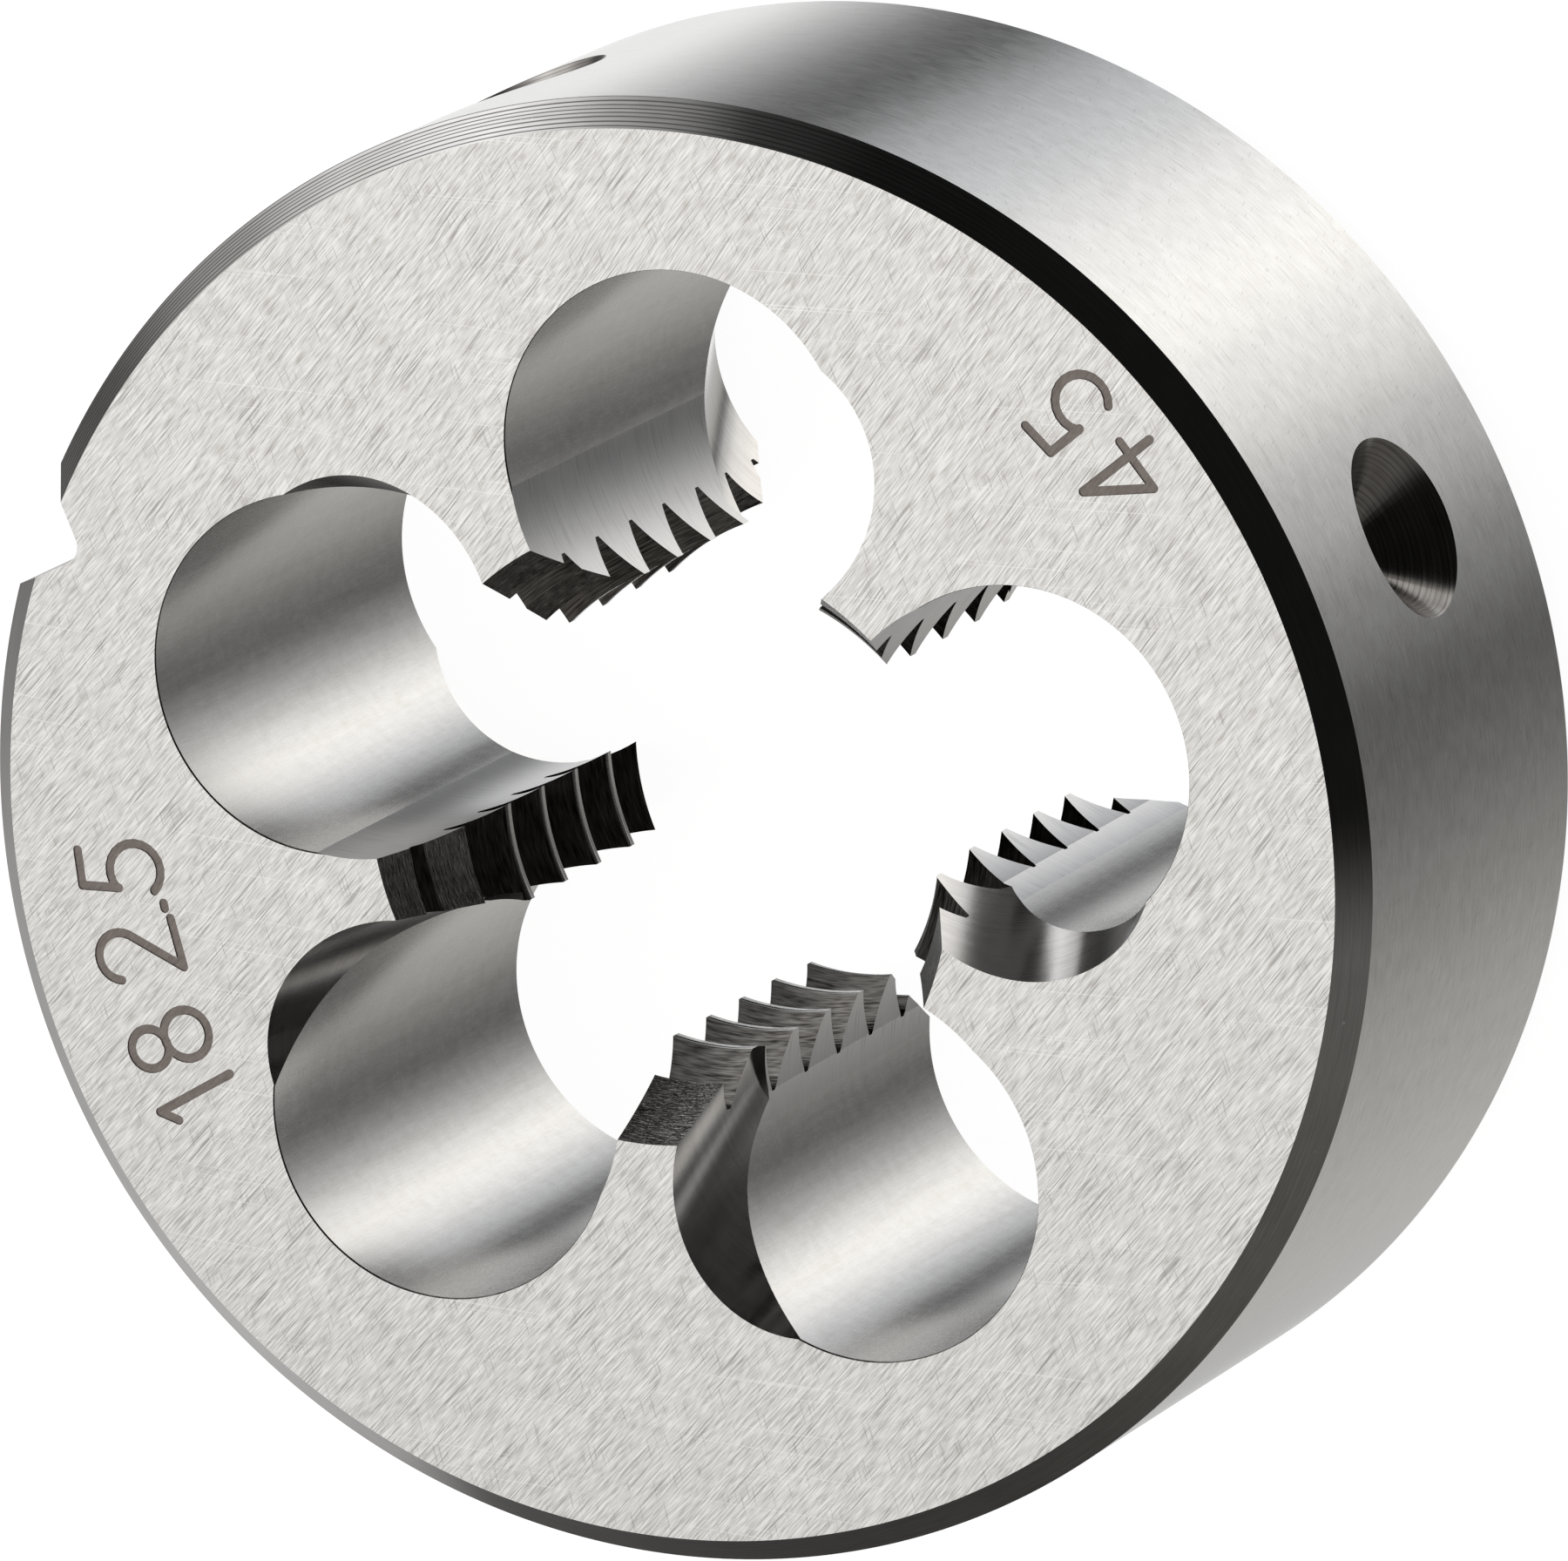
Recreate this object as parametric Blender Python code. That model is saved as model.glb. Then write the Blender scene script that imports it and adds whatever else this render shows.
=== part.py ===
# Round threading die for an 18 mm metric screw, 2.5 mm pitch, right-hand thread.
# It is ground and bored from one bar of high speed steel, so it is one solid.
# Metres, +Z up. The die lies on its rear face: the origin is the middle of that face, +Z runs up the
# thread to the marked face, and +X runs through the notch in the rim and one chip hole.

import bmesh
import bpy
from math import asin, cos, pi, radians, sin, sqrt, tan
from mathutils import Matrix, Vector

# Body
DIE_DIAMETER = 0.045
DIE_THICKNESS = 0.018
RIM_CHAMFER_WIDTH = 0.00082      # across the face
RIM_CHAMFER_HEIGHT = 0.00097     # along the rim

# Thread
THREAD_ROOT_DIAMETER = 0.01808   # across the bottoms of the grooves
THREAD_PITCH = 0.0025
THREAD_ANGLE = 60.0              # degrees between the two sides of a groove
THREAD_ROOT_FLAT = 0.00022       # width of a groove's bottom
THREAD_TIP_FLAT = 0.00040        # width of a tooth's tip
FIRST_ROOT_DEPTH = 0.00153       # the first groove lies this far below the marked face, on the +X side

# Lead, the relieved cone at each end of the thread where the screw enters
LEAD_DIAMETER = 0.01869          # at the face, on the cutting edges
LEAD_LENGTH = 0.0038             # at the marked face
REAR_LEAD_LENGTH = 0.0032
LEAD_RELIEF = 0.00024            # the cone falls back this much from each cutting edge to its heel

# Chip holes and the lands left between them
HOLE_COUNT = 5
RIM_METAL = 0.005015             # left between a chip hole and the rim
HOLE_INTRUSION = 0.001057        # a chip hole reaches this far inside the tooth tips
LAND_WIDTH = 0.00297             # across the tooth tips
LAND_TURN = 1.07                 # degrees that the lands sit off the middle between two holes
FLANK_MARGIN = 0.000295          # the hollow sides of a land have this much more radius than a chip hole
FLANK_HOOK = 39.7                # degrees, how far those sides hook in behind the tooth tips

# Spiral point, the slanting grind that throws the chips forward out of each hole
WHEEL_MARGIN = 0.00127           # the wheel has this much less radius than a chip hole
WHEEL_TILT = 24.2                # degrees from the die's axis
WHEEL_HEADING = 129.0            # degrees from the hole's own radius, the way the wheel leans inwards
WHEEL_IN = 0.00074               # where its axis meets the marked face, in from the hole's middle
WHEEL_ASIDE = 0.00193            # and beside the hole's own radius, on the cutting side
REAR_WHEEL_IN = 0.00082          # the same two at the rear face
REAR_WHEEL_ASIDE = 0.00200
WHEEL_REACH = 0.0050             # how far it goes in, along its own axis

# Rim
NOTCH_ANGLE = 92.0               # degrees
NOTCH_DEPTH = 0.00185            # below the rim
NOTCH_BOTTOM_RADIUS = 0.0006
DIMPLE_ANGLES = (47.0, 134.7)    # degrees from the notch, one pair on each side
DIMPLE_DIAMETER = 0.00572
DIMPLE_CONE_ANGLE = 90.0
DIMPLE_POINT_DIAMETER = 0.00015  # the drill's blunt point

# Fineness of the round surfaces
RIM_STEPS = 144
HOLE_STEPS = 72
FLANK_STEPS = 14
WHEEL_STEPS = 48
THREAD_STEPS = 90                # for each turn
LEAD_STEPS = 28                  # on each land
NOTCH_STEPS = 8
DIMPLE_STEPS = 36
SHARP_ANGLE = 25.0               # degrees, edges that turn more than this stay sharp

OVERSHOOT = 0.001                # every cutter runs this far out of the metal
RIM_RADIUS = DIE_DIAMETER / 2
ROOT_RADIUS = THREAD_ROOT_DIAMETER / 2
GROOVE_SLOPE = tan(radians(THREAD_ANGLE / 2))
TIP_RADIUS = ROOT_RADIUS - (THREAD_PITCH - THREAD_ROOT_FLAT - THREAD_TIP_FLAT) / 2 / GROOVE_SLOPE
HOLE_PITCH = 2 * pi / HOLE_COUNT
HOLE_RADIUS = (RIM_RADIUS - RIM_METAL - TIP_RADIUS + HOLE_INTRUSION) / 2
HOLE_CIRCLE_RADIUS = RIM_RADIUS - RIM_METAL - HOLE_RADIUS
FLANK_RADIUS = HOLE_RADIUS + FLANK_MARGIN
WHEEL_RADIUS = HOLE_RADIUS - WHEEL_MARGIN


def clear_scene():
    for old in list(bpy.data.objects):
        bpy.data.objects.remove(old, do_unlink=True)


def tool_steel():
    """Bare ground high speed steel, pale warm grey."""
    steel = bpy.data.materials.new("ground_tool_steel")
    steel.use_nodes = True
    shader = steel.node_tree.nodes["Principled BSDF"]
    shader.inputs["Base Color"].default_value = (0.56, 0.54, 0.52, 1.0)
    shader.inputs["Metallic"].default_value = 1.0
    shader.inputs["Roughness"].default_value = 0.35
    return steel


def add_solid(name, shape):
    """Turns a bmesh into an object with its faces pointing out."""
    bmesh.ops.recalc_face_normals(shape, faces=shape.faces)
    mesh = bpy.data.meshes.new(name)
    shape.to_mesh(mesh)
    shape.free()
    solid = bpy.data.objects.new(name, mesh)
    bpy.context.collection.objects.link(solid)
    return solid


def skin_loops(shape, loops, closed=False):
    """Walls between each loop of points and the next, and flat ends unless the loops close on themselves."""
    rows = [[shape.verts.new(point) for point in loop] for loop in loops]
    pairs = list(zip(rows, rows[1:]))
    if closed:
        pairs.append((rows[-1], rows[0]))
    for lower, upper in pairs:
        for i in range(len(lower)):
            j = (i + 1) % len(lower)
            shape.faces.new((lower[i], lower[j], upper[j], upper[i]))
    if not closed:
        shape.faces.new(rows[0])
        shape.faces.new(rows[-1])


def circle(radius, height, steps):
    return [Vector((radius * cos(2 * pi * i / steps), radius * sin(2 * pi * i / steps), height))
            for i in range(steps)]


def turned(name, profile, steps):
    """A solid turned about Z from (radius, height) pairs, flat at both ends."""
    shape = bmesh.new()
    skin_loops(shape, [circle(radius, height, steps) for radius, height in profile])
    return add_solid(name, shape)


def arc(middle, radius, start, end, steps):
    """Points on an arc in the XY plane, angles in radians."""
    return [middle + radius * Vector((cos(start + (end - start) * i / steps),
                                      sin(start + (end - start) * i / steps)))
            for i in range(steps + 1)]


def prism(name, outline):
    """An outline in the XY plane drawn out right through the die."""
    shape = bmesh.new()
    skin_loops(shape, [[Vector((point.x, point.y, height)) for point in outline]
                       for height in (-OVERSHOOT, DIE_THICKNESS + OVERSHOOT)])
    return add_solid(name, shape)


def cut(work, cutter):
    """Takes the cutter out of the work, and leaves it in the file as a guide."""
    cutter.hide_render = True
    cutter.display_type = 'WIRE'
    difference = work.modifiers.new(cutter.name, 'BOOLEAN')
    difference.operation = 'DIFFERENCE'
    difference.solver = 'EXACT'
    difference.object = cutter


def flipped(solid):
    """The same solid turned over about the X axis at half the die's thickness."""
    middle = Matrix.Translation((0, 0, DIE_THICKNESS / 2))
    solid.data.transform(middle @ Matrix.Rotation(pi, 4, 'X') @ middle.inverted())
    return solid


def blank():
    """The turned disc with a chamfer round both faces."""
    face_radius = RIM_RADIUS - RIM_CHAMFER_WIDTH
    return turned("die_body", [(face_radius, 0), (RIM_RADIUS, RIM_CHAMFER_HEIGHT),
                               (RIM_RADIUS, DIE_THICKNESS - RIM_CHAMFER_HEIGHT),
                               (face_radius, DIE_THICKNESS)], RIM_STEPS)


def chip_hole():
    """The drilled hole beside the thread."""
    drill = [Vector((HOLE_CIRCLE_RADIUS, 0)) + Vector((point.x, point.y))
             for point in circle(HOLE_RADIUS, 0, HOLE_STEPS)]
    return prism("chip_hole", drill)


def flank_grind():
    """The two hollow flanks of neighbouring lands, from their tooth tips out into the chip hole."""
    tip_angle = HOLE_PITCH / 2 - asin(LAND_WIDTH / 2 / TIP_RADIUS)
    tip = TIP_RADIUS * Vector((cos(tip_angle), sin(tip_angle)))
    hook = radians(FLANK_HOOK)
    middle = tip + FLANK_RADIUS * Vector((cos(hook), -sin(hook)))
    inner = pi - asin(-middle.y / FLANK_RADIUS)
    heel = arc(middle, FLANK_RADIUS, pi / 2, inner, FLANK_STEPS)
    cutting = [Vector((point.x, -point.y)) for point in reversed(heel[:-1])]
    return prism("flank_grind", heel + cutting)


def spiral_point(inward, aside):
    """The tilted wheel that grinds the cutting side of one chip hole, at the marked face."""
    wheel = turned("spiral_point", [(WHEEL_RADIUS, -WHEEL_REACH),
                                    (WHEEL_RADIUS, 2 * WHEEL_RADIUS)], WHEEL_STEPS)
    lean = Matrix.Rotation(radians(WHEEL_HEADING), 4, 'Z') @ Matrix.Rotation(-radians(WHEEL_TILT), 4, 'Y')
    place = Matrix.Translation((HOLE_CIRCLE_RADIUS - inward, -aside, DIE_THICKNESS))
    wheel.data.transform(place @ lean)
    return wheel


def bore():
    """The hole through the middle, out to the tooth tips."""
    return turned("bore", [(TIP_RADIUS, -OVERSHOOT), (TIP_RADIUS, DIE_THICKNESS + OVERSHOOT)], THREAD_STEPS)


def thread_groove():
    """The V groove wound up the bore, one closed section for each step of the helix."""
    inner = TIP_RADIUS - THREAD_TIP_FLAT / 4
    inner_half = THREAD_ROOT_FLAT / 2 + (ROOT_RADIUS - inner) * GROOVE_SLOPE
    section = [(inner, -inner_half), (ROOT_RADIUS, -THREAD_ROOT_FLAT / 2),
               (ROOT_RADIUS, THREAD_ROOT_FLAT / 2), (inner, inner_half)]
    first = DIE_THICKNESS - FIRST_ROOT_DEPTH
    turns_below = int(first / THREAD_PITCH) + 2
    start = first - turns_below * THREAD_PITCH
    turns = int((DIE_THICKNESS - start) / THREAD_PITCH) + 2
    loops = []
    for step in range(turns * THREAD_STEPS + 1):
        turn = step / THREAD_STEPS
        angle = 2 * pi * turn
        rise = start + turn * THREAD_PITCH
        loops.append([Vector((radius * cos(angle), radius * sin(angle), rise + height))
                      for radius, height in section])
    shape = bmesh.new()
    skin_loops(shape, loops)
    return add_solid("thread_groove", shape)


def lead_cone(length):
    """The cone at the marked face. On each land it falls back from the cutting edge to the heel."""
    slope = (LEAD_DIAMETER / 2 - TIP_RADIUS) / length
    land_angle = 2 * asin(LAND_WIDTH / 2 / TIP_RADIUS)
    loops = []
    for height in (-length - OVERSHOOT, OVERSHOOT):
        loop = []
        for land in range(HOLE_COUNT):
            middle = (land + 0.5) * HOLE_PITCH + radians(LAND_TURN)
            for i in range(LEAD_STEPS):
                off = HOLE_PITCH * ((i + 0.5) / LEAD_STEPS - 0.5)
                back = LEAD_RELIEF * (0.5 - off / land_angle)
                radius = LEAD_DIAMETER / 2 + slope * height + back
                loop.append(Vector((radius * cos(middle + off), radius * sin(middle + off),
                                    DIE_THICKNESS + height)))
        loops.append(loop)
    shape = bmesh.new()
    skin_loops(shape, loops)
    return add_solid("lead_cone", shape)


def notch():
    """The V across the rim that a screw in the die holder spreads or squeezes."""
    half = radians(NOTCH_ANGLE / 2)
    middle = Vector((RIM_RADIUS - NOTCH_DEPTH + NOTCH_BOTTOM_RADIUS, 0))
    bottom = arc(middle, NOTCH_BOTTOM_RADIUS, pi / 2 + half, 3 * pi / 2 - half, NOTCH_STEPS)
    reach = RIM_RADIUS + OVERSHOOT - bottom[0].x
    mouth = Vector((reach, reach * tan(half)))
    return prism("notch", [bottom[0] + mouth] + bottom + [bottom[-1] + Vector((mouth.x, -mouth.y))])


def dimple(angle):
    """A conical seat in the rim for the point of a holder's screw."""
    slope = tan(radians(DIMPLE_CONE_ANGLE / 2))
    mouth_radius = DIMPLE_DIAMETER / 2
    mouth = sqrt(RIM_RADIUS ** 2 - mouth_radius ** 2)
    point_radius = DIMPLE_POINT_DIAMETER / 2
    cone = turned("dimple", [(point_radius, mouth - (mouth_radius - point_radius) / slope),
                             (mouth_radius + OVERSHOOT * slope, mouth + OVERSHOOT)], DIMPLE_STEPS)
    cone.data.transform(Matrix.Rotation(angle, 4, 'Z') @ Matrix.Translation((0, 0, DIE_THICKNESS / 2))
                        @ Matrix.Rotation(pi / 2, 4, 'Y'))
    return cone


def finish(work):
    """Fixes the cuts into the mesh, clears the cutters away and sets the shading."""
    view = bpy.context.evaluated_depsgraph_get()
    mesh = bpy.data.meshes.new_from_object(work.evaluated_get(view))
    work.modifiers.clear()
    work.data = mesh
    mesh.name = work.name
    for cutter in [other for other in bpy.data.objects if other is not work]:
        bpy.data.objects.remove(cutter, do_unlink=True)
    mesh.materials.clear()
    mesh.materials.append(tool_steel())
    mesh.shade_smooth()
    mesh.set_sharp_from_angle(angle=radians(SHARP_ANGLE))


clear_scene()
die = blank()
cut(die, bore())
for hole in range(HOLE_COUNT):
    turn = Matrix.Rotation(hole * HOLE_PITCH, 4, 'Z')
    for cutter in (chip_hole(), spiral_point(WHEEL_IN, WHEEL_ASIDE),
                   flipped(spiral_point(REAR_WHEEL_IN, REAR_WHEEL_ASIDE))):
        cutter.data.transform(turn)
        cut(die, cutter)
    flanks = flank_grind()
    flanks.data.transform(turn @ Matrix.Rotation(radians(LAND_TURN), 4, 'Z'))
    cut(die, flanks)
cut(die, lead_cone(LEAD_LENGTH))
cut(die, flipped(lead_cone(REAR_LEAD_LENGTH)))
cut(die, thread_groove())
cut(die, notch())
for angle in DIMPLE_ANGLES:
    cut(die, dimple(radians(angle)))
    cut(die, dimple(-radians(angle)))
finish(die)
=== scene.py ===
import time
from math import asin, atan2, cos, pi, radians, sin, tan

import bmesh
import bpy
import numpy as np
from mathutils import Matrix, Vector


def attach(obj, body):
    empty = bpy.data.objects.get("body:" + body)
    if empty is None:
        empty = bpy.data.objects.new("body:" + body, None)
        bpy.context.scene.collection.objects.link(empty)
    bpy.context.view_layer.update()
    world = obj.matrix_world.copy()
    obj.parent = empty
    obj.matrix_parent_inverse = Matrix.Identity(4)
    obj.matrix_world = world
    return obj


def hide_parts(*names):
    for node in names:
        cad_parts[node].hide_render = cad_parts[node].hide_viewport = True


# A round threading die for an 18 mm screw, lying on its rear face with the thread's axis upright.
# The die is cut again here, finer than in the CAD, and every machined surface gets the finish of the
# tool that made it. Shapes are worked out in millimetres and turned to metres at the end.

startTime = time.time()
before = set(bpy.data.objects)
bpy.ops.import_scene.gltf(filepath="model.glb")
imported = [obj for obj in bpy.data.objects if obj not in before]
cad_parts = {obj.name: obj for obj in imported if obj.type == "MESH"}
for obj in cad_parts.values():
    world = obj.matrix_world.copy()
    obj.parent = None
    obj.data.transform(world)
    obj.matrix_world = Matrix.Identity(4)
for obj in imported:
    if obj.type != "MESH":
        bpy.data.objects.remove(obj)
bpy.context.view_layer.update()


def report(stage):
    print(f"{stage}: {time.time() - startTime:.1f} s")


report("frame loaded")

# What a user would change on the die, in mm and radians. All but the marks, the broken edges and the slim strip
# is the same as in the CAD.
dieSizes = dict(
    body=dict(radius=22.5, thickness=18.0, chamferWidth=0.82, chamferHeight=0.97, steps=360),
    thread=dict(rootRadius=9.04, pitch=2.5, slope=tan(radians(30)), rootFlat=0.22, tipFlat=0.40,
                firstRootDepth=1.53, crestLean=1.7, stepsPerTurn=160, boreSteps=180),
    lead=dict(radius=9.345, length=3.8, rearLength=3.2, relief=0.24, steps=56),
    # the strip is a slim wedge that the flank wheel left on the cutting side of each hole
    land=dict(count=5, width=2.97, turn=radians(1.07), rimMetal=5.015, intrusion=1.057,
              flankMargin=0.295, flankHook=radians(39.7), holeSteps=160, flankSteps=90,
              stripSlope=0.035, stripEnd=radians(-124.8)),
    wheel=dict(margin=1.27, tilt=radians(24.2), heading=radians(129.0), reach=5.0, steps=120,
               front=(0.74, 1.93), rear=(0.82, 2.00)),
    notch=dict(half=radians(46), depth=1.85, bottomRadius=0.6, steps=24),
    dimple=dict(angles=(47.0, 134.7), mouthRadius=2.86, pointRadius=0.075, steps=96),
    # broken by hand, a little harder towards one side. The cone runs on below and above the edge
    broken=dict(width=0.024, shift=(0.007, 0.019, 0.0), below=0.04, above=0.3),
    # plain numbers, etched: words, angle of the middle of each, base radius, way up
    marks=dict(height=2.75, strokeWidth=0.29, depth=0.045,
               words=(("1", 51.5, 16.8, 1), ("8", 45.6, 16.8, 1), ("2", 36.6, 16.8, 1), (".", 32.4, 16.8, 1),
                      ("5", 28.3, 16.8, 1), ("4", -120.2, 20.8, -1), ("5", -112.6, 20.8, -1))),
    # the faces' grinding lines are arcs about the middle of a round table
    grinding=dict(tableRadius=400.0, bearing=radians(-19)),
)
body, thread, lead, land, wheel, notch, dimple, broken, marks, grinding = dieSizes.values()

overshoot = 1.0  # how far a tool runs past the die
weldDistance = 0.0004  # points of the cut die nearer than this are one
midHeight = body["thickness"] / 2
toothHeight = (thread["pitch"] - thread["rootFlat"] - thread["tipFlat"]) / 2 / thread["slope"]
tipRadius = thread["rootRadius"] - toothHeight
holeRadius = (body["radius"] - land["rimMetal"] - tipRadius + land["intrusion"]) / 2
holeCircle = body["radius"] - land["rimMetal"] - holeRadius
flankRadius = holeRadius + land["flankMargin"]
wheelRadius = holeRadius - wheel["margin"]
holePitch = 2 * pi / land["count"]
landAngle = 2 * asin(land["width"] / 2 / tipRadius)
tipAngle = holePitch / 2 - landAngle / 2
flankMiddle = (tipRadius * cos(tipAngle) + flankRadius * cos(land["flankHook"]),
               tipRadius * sin(tipAngle) - flankRadius * sin(land["flankHook"]))
leadSlope = (lead["radius"] - tipRadius) / lead["length"]
rearLeadSlope = (lead["radius"] - tipRadius) / lead["rearLength"]

steelReflectance = 0.6  # bare tool steel gives back this share at each mirroring, so deep corners go dark


# sRGB hex to linear: c / 12.92 below 0.04045, else ((c + 0.055) / 1.055) ** 2.4.
def linearColour(hexValue, strength=1.0):
    parts = [int(hexValue[i:i + 2], 16) / 255 for i in (1, 3, 5)]
    parts = [c / 12.92 if c <= 0.04045 else ((c + 0.055) / 1.055) ** 2.4 for c in parts]
    return (*[c * strength for c in parts], 1.0)


# One node: settings are its own properties, sockets its inputs by name or number, a value or a link.
def addNode(tree, kind, sockets=None, **settings):
    made = tree.nodes.new("ShaderNode" + kind)
    for name, value in settings.items():
        setattr(made, name, value)
    for key, value in (sockets or {}).items():
        if isinstance(value, bpy.types.NodeSocket):
            tree.links.new(value, made.inputs[key])
        else:
            made.inputs[key].default_value = value
    return made


def newMaterial(name):
    made = bpy.data.materials.new(name)
    made.use_nodes = True
    made.node_tree.nodes.clear()
    return made


# Bare tool steel with the lines a tool leaves. u of the surface map runs along them and v across, both in mm.
# tone is a half, plus how far each noise lies from a half times its share: lines of several sizes, then cloudy
# patches. It mixes the two colours and moves the roughness, and the first, finest lines are also the bump.
def machinedSteel(name, look):
    made = newMaterial(name)
    tree = made.node_tree
    surface = addNode(tree, "UVMap", uv_map="surfaceMm").outputs["UV"]
    place = addNode(tree, "TexCoord").outputs["Object"]
    patchSize, patchShare = look["patches"]
    tone = 0.5 - 0.5 * (patchShare + sum(share for *_, share in look["lines"]))
    height = None
    for length, width, share in look["lines"]:
        drawn = addNode(tree, "VectorMath", {0: surface, 1: (1 / length, 1 / width, 1)}, operation="MULTIPLY")
        lines = addNode(tree, "TexNoise", {"Vector": drawn.outputs[0], "Scale": 1.0, "Roughness": 0.6,
                                           "Detail": look.get("detail", 1.0)},
                        noise_dimensions="2D").outputs["Fac"]
        tone = addNode(tree, "Math", {0: lines, 1: share, 2: tone}, operation="MULTIPLY_ADD").outputs[0]
        height = lines if height is None else height
    cloud = addNode(tree, "TexNoise", {"Vector": place, "Scale": 1000 / patchSize, "Detail": 2.0}).outputs["Fac"]
    tone = addNode(tree, "Math", {0: cloud, 1: patchShare, 2: tone}, operation="MULTIPLY_ADD").outputs[0]
    colour = addNode(tree, "Mix", {0: tone, 6: linearColour(look["dark"], steelReflectance),
                                   7: linearColour(look["light"], steelReflectance)},
                     data_type="RGBA").outputs[2]
    rough = addNode(tree, "MapRange", {0: tone, 3: look["roughness"][0], 4: look["roughness"][1]}).outputs[0]
    for turn, length, width, rare, strength, key in look.get("scratches", ()):
        turned = addNode(tree, "VectorRotate", {"Vector": surface, "Angle": radians(turn)}, rotation_type="Z_AXIS")
        drawn = addNode(tree, "VectorMath", {0: turned.outputs[0], 1: (1 / length, 1 / width, 1)},
                        operation="MULTIPLY")
        line = addNode(tree, "TexNoise", {"Vector": drawn.outputs[0], "Scale": 1.0, "Detail": 0.0},
                       noise_dimensions="2D").outputs["Fac"]
        share = addNode(tree, "MapRange", {0: line, 1: rare, 2: rare + 0.08, 3: 0.0, 4: strength}).outputs[0]
        colour = addNode(tree, "Mix", {0: share, 6: colour, 7: linearColour(key, steelReflectance)},
                         data_type="RGBA").outputs[2]
    for size, rare, strength, key in look.get("flecks", ()):
        fleck = addNode(tree, "TexNoise", {"Vector": place, "Scale": 1000 / size, "Detail": 1.0}).outputs["Fac"]
        share = addNode(tree, "MapRange", {0: fleck, 1: rare, 2: rare + 0.05, 3: 0.0, 4: strength}).outputs[0]
        colour = addNode(tree, "Mix", {0: share, 6: colour, 7: linearColour(key, steelReflectance)},
                         data_type="RGBA").outputs[2]
    if "rings" in look:  # ridges left by a tool's feed: a sine wave across the surface that drifts a little
        pitch, strength, drift, depth, key = look["rings"]
        across = addNode(tree, "SeparateXYZ", {0: surface}).outputs[1]
        drawn = addNode(tree, "VectorMath", {0: surface, 1: (1 / 30, 1 / 0.5, 1)}, operation="MULTIPLY")
        slow = addNode(tree, "TexNoise", {"Vector": drawn.outputs[0], "Scale": 1.0, "Detail": 0.0},
                       noise_dimensions="2D").outputs["Fac"]
        slow = addNode(tree, "Math", {0: slow, 1: drift}, operation="MULTIPLY").outputs[0]
        phase = addNode(tree, "Math", {0: across, 1: 2 * pi / pitch, 2: slow},
                        operation="MULTIPLY_ADD").outputs[0]
        wave = addNode(tree, "Math", {0: phase}, operation="SINE").outputs[0]
        share = addNode(tree, "MapRange", {0: wave, 1: 0.2, 2: 1.0, 3: 0.0, 4: strength}).outputs[0]
        if "ringsFrom" in look:  # worn away where u is small
            start, full = look["ringsFrom"]
            along = addNode(tree, "SeparateXYZ", {0: surface}).outputs[0]
            kept = addNode(tree, "MapRange", {0: along, 1: start, 2: full}).outputs[0]
            share = addNode(tree, "Math", {0: share, 1: kept}, operation="MULTIPLY").outputs[0]
        colour = addNode(tree, "Mix", {0: share, 6: colour, 7: linearColour(key, steelReflectance)},
                         data_type="RGBA").outputs[2]
        height = addNode(tree, "Math", {0: share, 1: -depth, 2: height}, operation="MULTIPLY_ADD").outputs[0]
    bump = addNode(tree, "Bump", {"Strength": 1.0, "Distance": look["bump"] / 1000, "Height": height})
    tangent = addNode(tree, "Tangent", direction_type="UV_MAP", uv_map="surfaceMm")
    shader = addNode(tree, "BsdfPrincipled", {
        "Base Color": colour, "Metallic": 1.0, "Roughness": rough, "Anisotropic": look["anisotropy"],
        "Anisotropic Rotation": 0.25, "Tangent": tangent.outputs[0], "Normal": bump.outputs[0],
        "Specular Tint": linearColour(look.get("edge", "#ffffff"))})
    addNode(tree, "OutputMaterial", {"Surface": shader.outputs[0]})
    return made


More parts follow.
